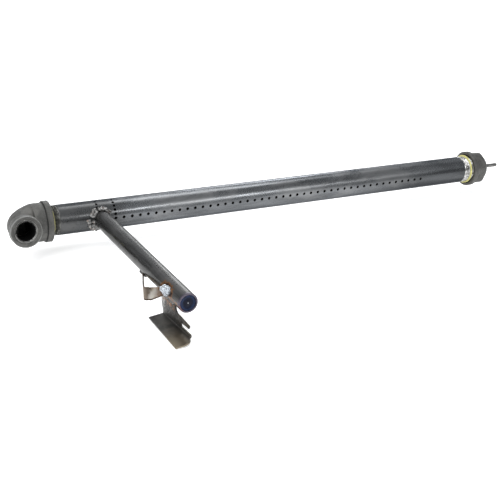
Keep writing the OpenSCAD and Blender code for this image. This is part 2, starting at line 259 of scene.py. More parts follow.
def pipe_steel():
    s = Shader("pipe_steel")
    streaks = s.noise(8 * MM, 6, 0.6, place=s.stretch((0.10, 1, 1)))
    clouds = s.noise(30 * MM, 4, 0.6, 0.5, place=s.stretch((0.45, 1, 1)))
    grain = s.noise(0.9 * MM, 3, 0.6)
    flecks = s.span(s.noise(2.4 * MM, 6, 0.7, place=s.stretch((0.5, 1, 1))), 0.58, 0.72)
    scale_and_shade = s.mix(s.span(streaks, 0.34, 0.66), grey(0.105, (0.96, 1.0, 1.05)), grey(0.175, (0.96, 1.0, 1.05)))
    scale_and_shade = s.mix(s.span(clouds, 0.42, 0.66, 0.0, 0.6), scale_and_shade, grey(0.250, (0.99, 1.0, 1.01)))
    scale_and_shade = s.mix(s.times(flecks, 0.5), scale_and_shade, grey(0.055, (1.0, 0.95, 0.88)))
    # Darker towards the left end, beside the root welds and the elbow.
    reach = s.plus(s.axis(0), s.span(clouds, 0.3, 0.7, -14 * MM, 14 * MM))
    darker_left = s.span(reach, FIRST_PORT_X - 14 * MM, FIRST_PORT_X + 20 * MM, 0.62, 0.0)
    scale_and_shade = s.mix(darker_left, scale_and_shade, grey(0.045, (1.0, 0.98, 0.95)))
    # Painted shade: the bore and the ports' walls nearly black, and rough.
    painted_inner_shade = s.inward((0, 0, 0), (1, 0, 0), PIPE_R - 0.1 * MM, 0.5 * MM)
    scale_and_shade = s.mix(painted_inner_shade, scale_and_shade, grey(0.012, (1.0, 0.92, 0.85)))
    # Painted shade: darker on the lower side of the right end.
    far_end_painted_shade = s.times(s.span(s.axis(0), -0.26, -0.10), s.span(s.axis(2), 4 * MM, 9 * MM, 0.55, 0.0))
    scale_and_shade = s.mix(far_end_painted_shade, scale_and_shade, grey(0.030, (0.96, 1.0, 1.05)))
    s.set(base_color=scale_and_shade, metallic=0.92, specular_tint=(0.42, 0.43, 0.45))
    wear_and_highlight = s.plus(s.times(clouds, 0.6), s.times(grain, 0.4))
    s.set(roughness=s.either(s.span(wear_and_highlight, 0.3, 0.7, 0.20, 0.38), painted_inner_shade))
    s.bump((streaks, 0.06 * MM), (grain, 0.02 * MM))
    return s.material


def bare_thread():
    """Silver where the die cut it, with compound smeared over the elbow's end."""
    s = Shader("bare_thread")
    smear = s.noise(3.2 * MM, 4, 0.6, 0.6)
    fine = s.noise(0.5 * MM, 3, 0.6, place=s.stretch((6, 1, 1)))
    silver = s.mix(s.span(smear, 0.40, 0.62), grey(0.60), grey(0.17, (1.0, 0.97, 0.92)))
    smeared = s.mix(s.span(smear, 0.45, 0.62), grey(0.070, (1.0, 1.0, 0.95)), grey(0.185, (1.0, 1.0, 0.95)))
    at_elbow = s.span(s.axis(0), -0.4, -0.3, 1.0, 0.0)
    colour = s.mix(at_elbow, silver, smeared)
    # Painted shade: nearly black inside the bore.
    painted_inner_shade = s.inward((0, 0, 0), (1, 0, 0), PIPE_BORE_R + 0.6 * MM, 0.5 * MM)
    colour = s.mix(painted_inner_shade, colour, grey(0.012, (1.0, 0.92, 0.85)))
    rough = s.plus(s.span(fine, 0.3, 0.7, 0.18, 0.38), s.times(at_elbow, 0.25))
    s.set(base_color=colour, metallic=0.95, roughness=rough)
    s.bump((fine, 0.02 * MM))
    return s.material


def fitting_mouths(s):
    """1 inside the elbow's two openings and in the recess of the cap's mouth: the places painted in shade."""
    x, depth = s.axis(0), s.depth(INLET_FACE, INLET_AXIS)
    inlet = s.inward(INLET_FACE, INLET_AXIS, INLET_THREAD_R + 2.4 * MM, 0.1 * MM)
    inlet = s.times(inlet, s.times(s.span(depth, 2.6 * MM, 3.6 * MM), s.span(depth, 20 * MM, 22 * MM, 1.0, 0.0)))
    socket = s.inward((0, 0, 0), (1, 0, 0), PIPE_R - 0.1 * MM, 0.1 * MM)
    socket = s.times(socket, s.span(x, -0.3, -0.29, 0.9, 0.0))
    socket = s.times(socket, s.span(x, ELBOW_AT.x + 9 * MM, ELBOW_AT.x + 11 * MM))
    cap = s.inward((0, 0, 0), (1, 0, 0), PIPE_R + 2.5 * MM, 0.3 * MM)
    cap = s.times(cap, s.span(x, CAP_LO[0] - 3 * MM, CAP_LO[0] - 2 * MM))
    cap = s.times(cap, s.span(x, CAP_LO[0] + 2 * MM, CAP_LO[0] + 3 * MM, 0.9, 0.0))
    return s.either(inlet, s.either(socket, cap))


def cast_fitting(shade=1.0, rough=0.42):
    """Sand-cast iron, with painted highlights on the inlet's rim and chamfer and painted shade nearly black inside."""
    s = Shader("cast_fitting")
    lumps = s.noise(5.5 * MM, 4, 0.6)
    sand = s.noise(0.75 * MM, 5, 0.68)
    pits = s.span(s.cells(1.6 * MM), 0.0, 0.28)
    dark, light = grey(0.042 * shade, (1.0, 1.0, 0.95)), grey(0.105 * shade, (1.0, 0.99, 0.93))
    colour = s.mix(s.span(sand, 0.35, 0.68), dark, light)
    dust = s.span(s.noise(14 * MM, 3), 0.42, 0.66, 0.0, 0.5)
    colour = s.mix(dust, colour, grey(0.135 * shade, (1.0, 0.98, 0.92)))
    colour = s.mix(s.span(pits, 0.0, 1.0, 0.45, 0.0), colour, grey(0.03, (1.0, 0.95, 0.9)))
    # Painted highlights: the inlet's outer rim and its chamfer lightened, broken up by noise.
    depth = s.depth(INLET_FACE, INLET_AXIS)
    rim = s.less(s.inward(INLET_FACE, INLET_AXIS, INLET_BAND_R - 0.8 * MM, 0.3 * MM))
    rim = s.times(rim, s.span(depth, 0.4 * MM, 1.3 * MM, 1.0, 0.0))
    chamfer = s.inward(INLET_FACE, INLET_AXIS, INLET_THREAD_R + 2.4 * MM, 0.1 * MM)
    chamfer = s.times(chamfer, s.span(depth, 2.3 * MM, 3.0 * MM, 1.0, 0.0))
    highlight_breakup = s.span(lumps, 0.3, 0.6, 0.45, 1.0)
    for wear_and_highlight, bright in ((rim, 0.23), (chamfer, 0.60)):
        colour = s.mix(s.times(wear_and_highlight, highlight_breakup), colour, grey(bright, (1.0, 1.0, 0.97)))
    # Painted shadow: a dark line at the foot of the band's left side.
    painted_band_shadow = s.span(s.axis(0), ELBOW_BAND_X - 1.4 * MM, ELBOW_BAND_X - 0.5 * MM)
    painted_band_shadow = s.times(painted_band_shadow, s.span(s.axis(0), ELBOW_BAND_X + 0.15 * MM, ELBOW_BAND_X + 0.4 * MM, 0.85, 0.0))
    colour = s.mix(painted_band_shadow, colour, grey(0.012))
    # Painted shade: nearly black, without shine, in the openings and the cap's mouth.
    inside = fitting_mouths(s)
    shine = s.times(s.less(inside), 0.5)
    s.set(base_color=s.mix(inside, colour, grey(0.008)), metallic=shine, specular_ior_level=shine)
    s.set(roughness=s.span(sand, 0.3, 0.7, rough, rough + 0.24))
    s.bump((lumps, 0.16 * MM), (pits, 0.10 * MM), (sand, 0.30 * MM))
    return s.material


def inlet_thread():
    s = Shader("inlet_thread")
    wear = s.noise(2.0 * MM, 4, 0.6)
    colour = s.mix(s.span(wear, 0.4, 0.65), grey(0.22, (1.0, 1.0, 0.98)), grey(0.62, (1.0, 0.98, 0.95)))
    # Painted shade: the thread turns black and loses its shine deeper in.
    deep = s.span(s.depth(INLET_FACE, INLET_AXIS), 1.2 * MM, 2.6 * MM)
    colour = s.mix(deep, colour, grey(0.006))
    near = s.less(deep)
    s.set(base_color=colour, metallic=s.times(near, 0.9), specular_ior_level=s.times(near, 0.5))
    s.set(roughness=s.span(wear, 0.3, 0.7, 0.24, 0.44))
    s.bump((s.noise(0.4 * MM, 3, 0.6), 0.02 * MM))
    return s.material


def sealant():
    s = Shader("thread_sealant")
    smear = s.noise(3.0 * MM, 5, 0.62, 0.8)
    grit = s.noise(0.6 * MM, 3, 0.6)
    colour = s.mix(s.span(smear, 0.35, 0.66), (0.52, 0.49, 0.16), (0.72, 0.68, 0.28))
    colour = s.mix(s.span(s.noise(1.7 * MM, 4, 0.6), 0.58, 0.70, 0.0, 0.65), colour, (0.20, 0.18, 0.09))
    patch = s.times(s.span(s.noise(5.2 * MM, 4, 0.6), 0.47, 0.60), s.span(s.axis(0), -0.4, -0.3, 0.8, 0.0))
    colour = s.mix(patch, colour, (0.13, 0.125, 0.095))
    s.set(base_color=colour, metallic=0.0, roughness=s.span(grit, 0.3, 0.7, 0.34, 0.55), subsurface_weight=0.05)
    s.put(s.face.inputs["Subsurface Radius"], (1.2 * MM, 0.9 * MM, 0.4 * MM))
    s.bump((smear, 0.10 * MM), (grit, 0.03 * MM))
    return s.material


def dark_tube():
    s = Shader("tube_steel")
    draw = s.noise(1.1 * MM, 4, 0.62, place=s.stretch((1, 0.05, 1)))
    clouds = s.noise(24 * MM, 4, place=s.stretch((1, 0.5, 1)))
    grain = s.noise(0.7 * MM, 4, 0.65)
    colour = s.mix(s.span(draw, 0.3, 0.72), grey(0.060, (1.0, 1.0, 0.99)), grey(0.115, (1.0, 1.0, 1.0)))
    colour = s.mix(s.span(clouds, 0.42, 0.7, 0.0, 0.6), colour, grey(0.150, (1.0, 0.99, 0.97)))
    near_weld = s.away(WELD_FRONT, (1, 0.56, 1))
    heat = s.ragged(near_weld, s.noise(3.5 * MM, 5, 0.62), 2.0 * MM)
    near_foot = s.away((TUBE_X - 8.6 * MM, TUBE_END_Y + 13 * MM, -4.6 * MM), (1.3, 0.27, 1.3))
    foot = s.ragged(near_foot, s.noise(3.2 * MM, 5, 0.62), 2.2 * MM)
    for field, reach in ((heat, 8.9 * MM), (foot, 6.0 * MM)):
        straw = s.span(field, reach * 0.78, reach, 1.0, 0.0)
        colour = s.mix(s.times(straw, 0.8), colour, (0.26, 0.115, 0.038))
        core = s.span(field, reach * 0.58, reach * 0.80, 1.0, 0.0)
        colour = s.mix(s.times(core, 0.9), colour, (0.030, 0.022, 0.020))
    end = s.span(s.axis(1), TUBE_END_Y, TUBE_END_Y + 5 * MM, 1.0, 0.0)
    colour = s.mix(s.times(end, 0.55), colour, (0.085, 0.068, 0.110))
    # Painted shade: nearly black inside the tube's bore and its ports.
    painted_inner_shade = s.inward((TUBE_X, 0, 0), (0, 1, 0), TUBE_R - 0.1 * MM, 0.4 * MM)
    painted_inner_shade = s.times(painted_inner_shade, s.span(s.axis(1), TUBE_END_Y, TUBE_END_Y + 0.6 * MM))
    colour = s.mix(painted_inner_shade, colour, grey(0.010))
    s.set(base_color=colour, metallic=0.9, specular_tint=(0.7, 0.7, 0.7))
    s.set(roughness=s.span(clouds, 0.3, 0.7, 0.23, 0.38))
    s.bump((draw, 0.07 * MM), (grain, 0.06 * MM))
    return s.material


def oxide_and_glint():
    """Oxide colours in rings round the plug's middle, and a painted glint on the centre mark."""
    s = Shader("heat_tinted_steel")
    centre = (TUBE_X, TUBE_END_Y, 0.0)
    radius = s.away(centre, (1, 0, 1))
    radius = s.ragged(radius, s.noise(4 * MM, 4, 0.6, 0.4), 0.9 * MM)
    # The first two stops are the painted glint.
    tint = s.ramp(
        s.span(radius, 0.0, 9 * MM, smooth=False),
        (0.0, (0.95, 0.96, 1.0)),
        (0.07, (0.75, 0.78, 0.85)),
        (0.13, (0.010, 0.011, 0.018)),
        (0.50, (0.007, 0.009, 0.020)),
        (0.72, (0.012, 0.022, 0.052)),
        (0.86, (0.020, 0.020, 0.050)),
        (0.97, (0.060, 0.042, 0.050)),
    )
    patches = s.noise(2.6 * MM, 5, 0.65)
    tint = s.mix(s.span(patches, 0.5, 0.66, 0.0, 0.7), tint, (0.007, 0.008, 0.012))
    s.set(base_color=tint, metallic=0.85, roughness=s.span(patches, 0.3, 0.7, 0.24, 0.46))
    s.bump((patches, 0.06 * MM), (s.noise(0.6 * MM, 3, 0.6), 0.03 * MM))
    return s.material


def weld(name, dark, light, rough, tint=(1, 1, 1), rust=0.25):
    s = Shader(name)
    slag = s.noise(2.2 * MM, 5, 0.62, 0.5)
    fine = s.noise(0.45 * MM, 4, 0.6)
    colour = s.mix(s.span(slag, 0.36, 0.64), grey(dark, tint), grey(light, tint))
    colour = s.mix(s.span(s.noise(3.4 * MM, 4, 0.6), 0.56, 0.68, 0.0, rust), colour, (0.22, 0.10, 0.045))
    s.set(base_color=colour, metallic=0.9, roughness=s.span(fine, 0.3, 0.7, rough, rough + 0.2))
    s.bump((slag, 0.10 * MM), (fine, 0.03 * MM))
    return s.material


def strap_steel():
    s = Shader("strap_steel")
    wash = s.noise(7 * MM, 4, 0.55)
    grain = s.noise(0.8 * MM, 4, 0.6, place=s.stretch((1, 1, 3)))
    colour = s.mix(s.span(wash, 0.36, 0.66), (0.46, 0.385, 0.29), (0.60, 0.57, 0.52))
    middle_z = (STRAP_LO[2] + STRAP_HI[2]) / 2
    end = s.away((TUBE_X - 11 * MM, -212 * MM, middle_z + 4 * MM), (1, 1, 0.6))
    burnt = s.span(s.ragged(end, wash, 3 * MM), 2 * MM, 10 * MM, 1.0, 0.0)
    colour = s.mix(s.times(burnt, 0.85), colour, (0.20, 0.085, 0.030))
    # Painted shade round the outside of the bend.
    corner = s.away(STRAP_CORNER + Vector((2 * MM, 2 * MM, 0)), (1, 1, 0))
    corner = s.ragged(corner, wash, 2 * MM)
    colour = s.mix(s.span(corner, 2.5 * MM, 6.5 * MM, 0.85, 0.0), colour, (0.085, 0.060, 0.045))
    # Painted highlight: paler along the top of the long leg.
    bright = s.times(s.span(s.axis(2), 1 * MM, 3 * MM), s.span(s.axis(1), -0.2, -0.195))
    colour = s.mix(s.times(bright, 0.7), colour, grey(0.75))
    s.set(base_color=colour, metallic=0.85, roughness=s.span(wash, 0.3, 0.7, 0.26, 0.40))
    s.bump((grain, 0.02 * MM))
    return s.material


def strap_edge_shade():
    # Painted shade: near black, mottled, for the strip's edges and the lower band of its faces.
    s = Shader("strap_edge_shade")
    edge_mottle = s.noise(1.1 * MM, 4, 0.6)
    colour = s.mix(s.span(edge_mottle, 0.35, 0.7), grey(0.018, (1.0, 0.9, 0.8)), (0.10, 0.055, 0.030))
    s.set(base_color=colour, metallic=0.7, roughness=s.span(edge_mottle, 0.3, 0.7, 0.35, 0.6))
    s.bump((edge_mottle, 0.06 * MM))
    return s.material


def bracket_steel():
    s = Shader("bracket_steel")
    wash = s.noise(13 * MM, 4, 0.55)
    roll = s.noise(0.9 * MM, 4, 0.6, place=s.stretch((1, 0.25, 1)))
    colour = s.mix(s.span(wash, 0.35, 0.68), grey(0.075, (1.0, 0.99, 0.95)), grey(0.15, (1.0, 0.97, 0.90)))
    front = s.span(s.axis(1), -0.262, -0.222, 1.0, 0.0)
    colour = s.mix(s.times(front, 0.65), colour, (0.25, 0.205, 0.140))
    high = s.span(s.axis(2), -31 * MM, -24 * MM)
    patch = s.noise(4 * MM, 5, 0.62)
    soot = s.times(high, s.span(patch, 0.34, 0.58, 0.95, 0.55))
    colour = s.mix(soot, colour, (0.020, 0.018, 0.017))
    near_tube = s.times(s.span(s.axis(2), -20 * MM, -13 * MM), s.span(patch, 0.44, 0.56))
    colour = s.mix(s.times(near_tube, 0.8), colour, (0.20, 0.085, 0.028))
    back_edge = s.times(s.span(s.axis(1), -0.206, -0.199), s.span(s.axis(2), -28 * MM, -24 * MM))
    speck = s.span(s.noise(1.6 * MM, 5, 0.65), 0.44, 0.60)
    colour = s.mix(s.times(s.times(back_edge, speck), 0.9), colour, grey(0.45))
    # Painted shade along the fold.
    fold = s.span(s.away((TUBE_X - 1.5 * MM, -0.225, -30.5 * MM), (1, 0, 1)), 1 * MM, 7 * MM, 0.75, 0.0)
    colour = s.mix(fold, colour, grey(0.050, (1.0, 0.97, 0.92)))
    s.set(base_color=colour, metallic=0.85, roughness=s.span(wash, 0.3, 0.7, 0.32, 0.46))
    s.bump((roll, 0.02 * MM), (s.noise(0.5 * MM, 3, 0.6), 0.012 * MM), (s.times(high, patch), 0.9 * MM))
    return s.material


def pin_steel():
    s = Shader("pin_steel")
    draw = s.noise(0.8 * MM, 4, 0.6, place=s.stretch((0.15, 1, 1)))
    colour = s.mix(s.span(draw, 0.35, 0.68), grey(0.10, (1.0, 0.98, 0.95)), grey(0.24, (1.0, 0.99, 0.96)))
    s.set(base_color=colour, metallic=0.9, roughness=s.span(draw, 0.3, 0.7, 0.30, 0.46))
    s.bump((draw, 0.03 * MM))
    return s.material


# ---------------------------------------------------------------- mesh tools

def link(name, mesh, node, slot, *materials):
    """Puts a mesh in the scene as the piece that stands for a CAD node."""
    obj = bpy.data.objects.new(name, mesh)
    SCENE.collection.objects.link(obj)
    while len(mesh.materials) < len(materials):
        mesh.materials.append(None)
    for k, material in enumerate(materials):
        mesh.materials[k] = material
    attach(obj, "root")
    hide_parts(node)
    return obj


def finish_mesh(bm, name, sharp=35):
    mesh = bpy.data.meshes.new(name)
    bmesh.ops.recalc_face_normals(bm, faces=bm.faces)
    bm.to_mesh(mesh)
    bm.free()
    mesh.shade_smooth()
    mesh.set_sharp_from_angle(angle=math.radians(sharp))
    return mesh


def add_polar(bm, profile, segments=128, radius=None, place=None):
    """A closed skin round +X through (along, radius) points; radius(along, r, angle) may bend it."""
    place = place or Matrix()
    rings = []
    for along, r in profile:
        if r < 1e-7:
            rings.append([bm.verts.new(place @ Vector((along, 0, 0)))])
            continue
        ring = []
        for k in range(segments):
            angle = 2 * math.pi * k / segments
            rr = radius(along, r, angle) if radius else r
            ring.append(bm.verts.new(place @ Vector((along, -rr * math.cos(angle), rr * math.sin(angle)))))
        rings.append(ring)
    loop_closed = len(rings[0]) > 1
    pairs = list(zip(rings, rings[1:]))
    if loop_closed:
        pairs.append((rings[-1], rings[0]))
    for a, b in pairs:
        for k in range(segments):
            n = (k + 1) % segments
            corners = list(dict.fromkeys((a[k % len(a)], b[k % len(b)], b[n % len(b)], a[n % len(a)])))
            if len(corners) > 2:
                bm.faces.new(corners)


def close_sweep(bm, rings):
    """Faces between rings of equal count, and one at each end; returns the sides, ring by ring."""
    count = len(rings[0])
    sides = [
        [bm.faces.new((a[k], a[(k + 1) % count], b[(k + 1) % count], b[k])) for k in range(count)]
        for a, b in zip(rings, rings[1:])
    ]
    bm.faces.new(rings[0])
    bm.faces.new(list(reversed(rings[-1])))
    return sides


def polar(name, profile, **options):
    sharp = options.pop("sharp", 35)
    bm = bmesh.new()
    add_polar(bm, profile, **options)
    return finish_mesh(bm, name, sharp)


def rod(start, end, r):
    """The profile of a plain rod."""
    return [(start, 0), (start, r), (end, r), (end, 0)]


def arc(centre, radius, start, end, steps):
    """(along, radius) points on an arc of a profile; angles in degrees from +along."""
    points = []
    for k in range(steps + 1):
        a = math.radians(start + (end - start) * k / steps)
        points.append((centre[0] + radius * math.cos(a), centre[1] + radius * math.sin(a)))
    return points


def temporary(mesh):
    obj = bpy.data.objects.new("temporary", mesh)
    SCENE.collection.objects.link(obj)
    return obj


def baked(obj, name):
    """The object's mesh with its modifiers applied; the object goes."""
    graph = bpy.context.evaluated_depsgraph_get()
    mesh = bpy.data.meshes.new_from_object(obj.evaluated_get(graph))
    mesh.name = name
    bpy.data.objects.remove(obj)
    return mesh


def cut(mesh, cutter, name, sharp=35):
    """mesh less cutter, as an exact boolean."""
    body, tool = temporary(mesh), temporary(cutter)
    step = body.modifiers.new("cut", "BOOLEAN")
    step.operation = "DIFFERENCE"
    step.solver = "EXACT"
    step.object = tool
    result = baked(body, name)
    bpy.data.objects.remove(tool)
    result.shade_smooth()
    result.set_sharp_from_angle(angle=math.radians(sharp))
    return result


def fused(bm, name, voxel, smooth=2):
    """Closed shapes melted into one skin, as a casting or a weld pool flows together."""
    mesh = bpy.data.meshes.new(name)
    bm.to_mesh(mesh)
    bm.free()
    obj = temporary(mesh)
    step = obj.modifiers.new("skin", "REMESH")
    step.mode = "VOXEL"
    step.voxel_size = voxel
    if smooth:
        soft = obj.modifiers.new("soft", "SMOOTH")
        soft.factor = 0.5
        soft.iterations = smooth
    mesh = baked(obj, name)
    mesh.shade_smooth()
    return mesh


def roughen(mesh, depth, size, offset=0.0, octaves=3):
    """Moves each point along its normal by seedless noise."""
    shift = Vector((offset, offset * 1.7, -offset))
    moves = [
        v.normal * depth * noise.fractal(v.co / size + shift, 1.0, 2.0, octaves) for v in mesh.vertices
    ]
    for v, move in zip(mesh.vertices, moves):
        v.co += move
    return mesh


def radial_normals(mesh, distance, radii, tolerance=2e-5):
    """Exact cylinder normals on the skins at the given radii; distance(co) gives the axis offset."""
    normals = [(0.0, 0.0, 0.0)] * len(mesh.loops)
    for polygon in mesh.polygons:
        offsets = [distance(mesh.vertices[i].co) for i in polygon.vertices]
        for r in radii:
            if all(abs(o.length - r) < tolerance for o in offsets):
                for loop, o in zip(polygon.loop_indices, offsets):
                    sign = 1 if o.dot(polygon.normal) > 0 else -1
                    normals[loop] = tuple(o.normalized() * sign)
    mesh.normals_split_custom_set(normals)


# ---------------------------------------------------------------- pieces

def add_port(bm, x, angle, r):
    """A cutter for one port, with a small burred countersink, aimed at the X axis."""
    aim = Matrix.Translation((x, 0, 0)) @ Matrix.Rotation(-angle, 4, "X") @ Matrix.Rotation(-math.pi / 2, 4, "Z")
    back, front = PIPE_BORE_R - 2.5 * MM, PIPE_R + 0.25 * MM
    hole = [(back, 0), (back, r), (PIPE_R - 0.28 * MM, r), (PIPE_R - 0.06 * MM, r * 1.10)]
    add_polar(bm, hole + [(front, r * 1.32), (front, 0)], segments=28, place=aim)


def thread_wave(turn):
    """0 at a thread's root and 1 at its crest, with the flats of a pipe thread."""
    t = turn % 1.0
    slope = 1 - abs(2 * t - 1)
    return min(1.0, max(0.0, (slope - 0.10) / 0.80))


def add_thread(bm, start, end, crest, inner):
    """A helical pipe thread from start to end, tapering away from the pipe's plain part."""
    steps = round(abs(end - start) / THREAD_PITCH * 12)
    profile = [(start + (end - start) * k / steps, crest) for k in range(steps + 1)]
    outer = {along for along, _ in profile}

    def radius(along, r, angle):
        if along not in outer or r < crest:
            return r
        run = abs(along - start)
        shallow = min(1.0, 0.25 + run / (5.5 * MM))
        wave = thread_wave((along - start) / THREAD_PITCH + angle / (2 * math.pi))
        return r - run * TAPER - THREAD_DEPTH * shallow * (1 - wave)

    add_polar(bm, profile + [(end, inner), (start, inner)], segments=144, radius=radius)


def make_main_pipe():
    left, right = PIPE_LO[0] + THREAD_LENGTH, PIPE_HI[0] - THREAD_LENGTH
    profile = [(left, PIPE_BORE_R), (left, PIPE_R - 0.15 * MM), (left + 0.6 * MM, PIPE_R)]
    profile += [(right - 0.6 * MM, PIPE_R), (right, PIPE_R - 0.15 * MM), (right, PIPE_BORE_R)]
    body = polar("main_pipe_skin", profile, segments=160)
    bm = bmesh.new()
    for k in range(PORT_COUNT):
        add_port(bm, FIRST_PORT_X + k * PORT_PITCH, 0, PORT_R)
    for k in range(1, CLIMB_COUNT + 1):
        add_port(bm, FIRST_PORT_X, k * CLIMB_STEP, CLIMB_R)
        if k > 1:
            add_port(bm, FIRST_PORT_X - CLIMB_ROWS_APART, k * CLIMB_STEP, CLIMB_R)
    mesh = cut(body, finish_mesh(bm, "ports"), "main_pipe_skin")
    hole = rod(6 * MM, PIPE_R + 4 * MM, TUBE_BORE_R - 0.4 * MM)
    mesh = cut(mesh, polar("crossover", hole, segments=48, place=ON_TUBE), "main_pipe_skin")
    radial_normals(mesh, lambda co: Vector((0, co.y, co.z)), (PIPE_R, PIPE_BORE_R))
    link("main_pipe_body", mesh, "main_pipe", "pipe_steel", pipe_steel())
    bm = bmesh.new()
    crest = PIPE_R - 0.02 * MM
    add_thread(bm, right, PIPE_HI[0], crest, PIPE_BORE_R)
    add_thread(bm, left, PIPE_LO[0], crest, PIPE_BORE_R)
    link("main_pipe_threads", finish_mesh(bm, "pipe_threads", 50), "main_pipe", "pipe_steel", bare_thread())


def make_flash_tube():
    rim = 0.45 * MM
    length = -TUBE_END_Y
    profile = [(8 * MM, TUBE_BORE_R), (8 * MM, TUBE_R), (length - rim, TUBE_R)]
    profile += arc((length - rim, TUBE_R - rim), rim, 90, 0, 5)[1:]
    profile += arc((length - 0.3 * MM, TUBE_BORE_R + 0.3 * MM), 0.3 * MM, 0, -90, 4)
    body = polar("flash_tube_skin", profile, segments=112, place=ON_TUBE)
    bm = bmesh.new()
    add_polar(bm, rod(TUBE_X - 30 * MM, TUBE_X + 30 * MM, PIPE_R), segments=160)
    back, front, r = TUBE_BORE_R - 1 * MM, TUBE_R + 0.2 * MM, TUBE_PORT_R
    hole = [(back, 0), (back, r), (TUBE_R - 0.1 * MM, r), (front, r * 1.6), (front, 0)]
    lean = Matrix.Rotation(-TUBE_PORT_LEAN, 4, "Y") @ Matrix.Rotation(-math.pi / 2, 4, "Y")
    for k in range(TUBE_PORT_COUNT):
        y = -34 * MM - k * TUBE_PORT_PITCH
        add_polar(bm, hole, segments=14, place=Matrix.Translation((TUBE_X, y, 0)) @ lean)
    mesh = cut(body, finish_mesh(bm, "tube_cutter"), "flash_tube_skin")
    radial_normals(mesh, lambda co: Vector((co.x - TUBE_X, 0, co.z)), (TUBE_R, TUBE_BORE_R))
    link("flash_tube_body", mesh, "flash_tube", "tube_steel", dark_tube())


def make_plug():
    """A pressed disc, dished and wrinkled by heat, with a centre mark."""
    front, back, r = -PLUG_LO[1], -PLUG_HI[1], TUBE_BORE_R
    corner = 0.5 * MM
    profile = [(back, 0), (back, r), (front - corner, r)]
    profile += arc((front - corner, r - corner), corner, 90, 0, 4)[1:]
    steps = 14
    for k in range(1, steps):
        t = k / steps
        dish = 0.55 * MM * math.sin(math.pi * min(1, t * 1.1)) ** 2
        profile.append((front - dish, (r - corner) * (1 - t)))
    profile.append((front - 0.75 * MM, 0))
    mesh = polar("tube_plug_skin", profile, segments=72, place=ON_TUBE, sharp=60)
    roughen(mesh, 0.12 * MM, 3.0 * MM, 3.1)
    link("tube_plug_disc", mesh, "tube_plug", "heat_tinted_steel", oxide_and_glint())


def make_cap():
    """A round band, then a hexagon with rounded corners that domes over to the pin."""
    mouth, face = CAP_LO[0], CAP_HI[0]
    band_r, band_w = CAP_HI[1] - 0.1 * MM, 6.5 * MM
    body_r, half_flat, crown = 21.3 * MM, 19.4 * MM, 10.1 * MM
    ring = face - crown
    turn = math.radians(15)
    soften = 0.9 * MM

    def radius(along, r, angle):
        """Trims the body to a hexagon with rounded corners; the band and bore stay round."""
        if along < mouth + band_w + 0.6 * MM or r < 8 * MM:
            return r
        flat = half_flat / math.cos(((angle - turn) % (math.pi / 3)) - math.pi / 6)
        gap = max(0.0, soften - abs(flat - r)) / soften
        return min(flat, r) - gap * gap * soften / 4

    bore = FITTING_BORE_R
    profile = [(mouth + 18 * MM, 0), (mouth + 16 * MM, 9 * MM), (mouth + 14 * MM, bore), (mouth + 2.2 * MM, bore)]
    profile += [(mouth + 0.5 * MM, bore + 1.6 * MM), (mouth, bore + 2.3 * MM)]
    profile += arc((mouth + 0.9 * MM, band_r - 0.9 * MM), 0.9 * MM, 180, 90, 6)
    profile += arc((mouth + band_w - 1.1 * MM, band_r - 1.1 * MM), 1.1 * MM, 90, 20, 6)
    profile += [(mouth + band_w + 0.25 * MM, body_r + 0.15 * MM)]
    profile += [(mouth + band_w + d * MM, body_r) for d in (0.9, 2.0, 4.0, 6.0, 8.0)]
    profile += [(x, body_r) for x in (ring - 3.5 * MM, ring - 2.2 * MM)]
    profile += arc((ring - 1.6 * MM, body_r - 2.4 * MM), 2.4 * MM, 90, 38, 6)
    for k in range(1, 10):
        t = k / 10
        r = (body_r - 2.9 * MM) * math.cos(t * math.pi / 2 * 0.92)
        x = ring + 0.3 * MM + (face - ring - 0.3 * MM) * math.sin(t * math.pi / 2) ** 1.15
        profile.append((x, max(r, 5 * MM)))
    profile += [(face, 4.5 * MM), (face, 0)]
    mesh = polar("end_cap_skin", profile, segments=180, radius=radius, sharp=60)
    roughen(mesh, 0.16 * MM, 4.0 * MM, 1.3, 4)
    link("end_cap_casting", mesh, "end_cap", "cast_fitting", cast_fitting(1.1))


def add_bend(bm, bend_r, start_r, end_r, steps=24, segments=72):
    """A tapering quarter bend from the pipe's axis round to the inlet's."""
    rings = []
    for k in range(steps + 1):
        a = math.pi / 2 * k / steps
        r = start_r + (end_r - start_r) * (k / steps) ** 0.85
        centre = ELBOW_AT + Vector((bend_r * (1 - math.sin(a)), 0, 0)) + INLET_AXIS * bend_r * (1 - math.cos(a))
        ahead = Vector((-math.cos(a), 0, 0)) + INLET_AXIS * math.sin(a)
        side = Vector((1, 0, 0)).cross(INLET_AXIS)
        up = ahead.cross(side)
        turns = [2 * math.pi * n / segments for n in range(segments)]
        rings.append([bm.verts.new(centre + (side * math.cos(b) + up * math.sin(b)) * r) for b in turns])
    close_sweep(bm, rings)


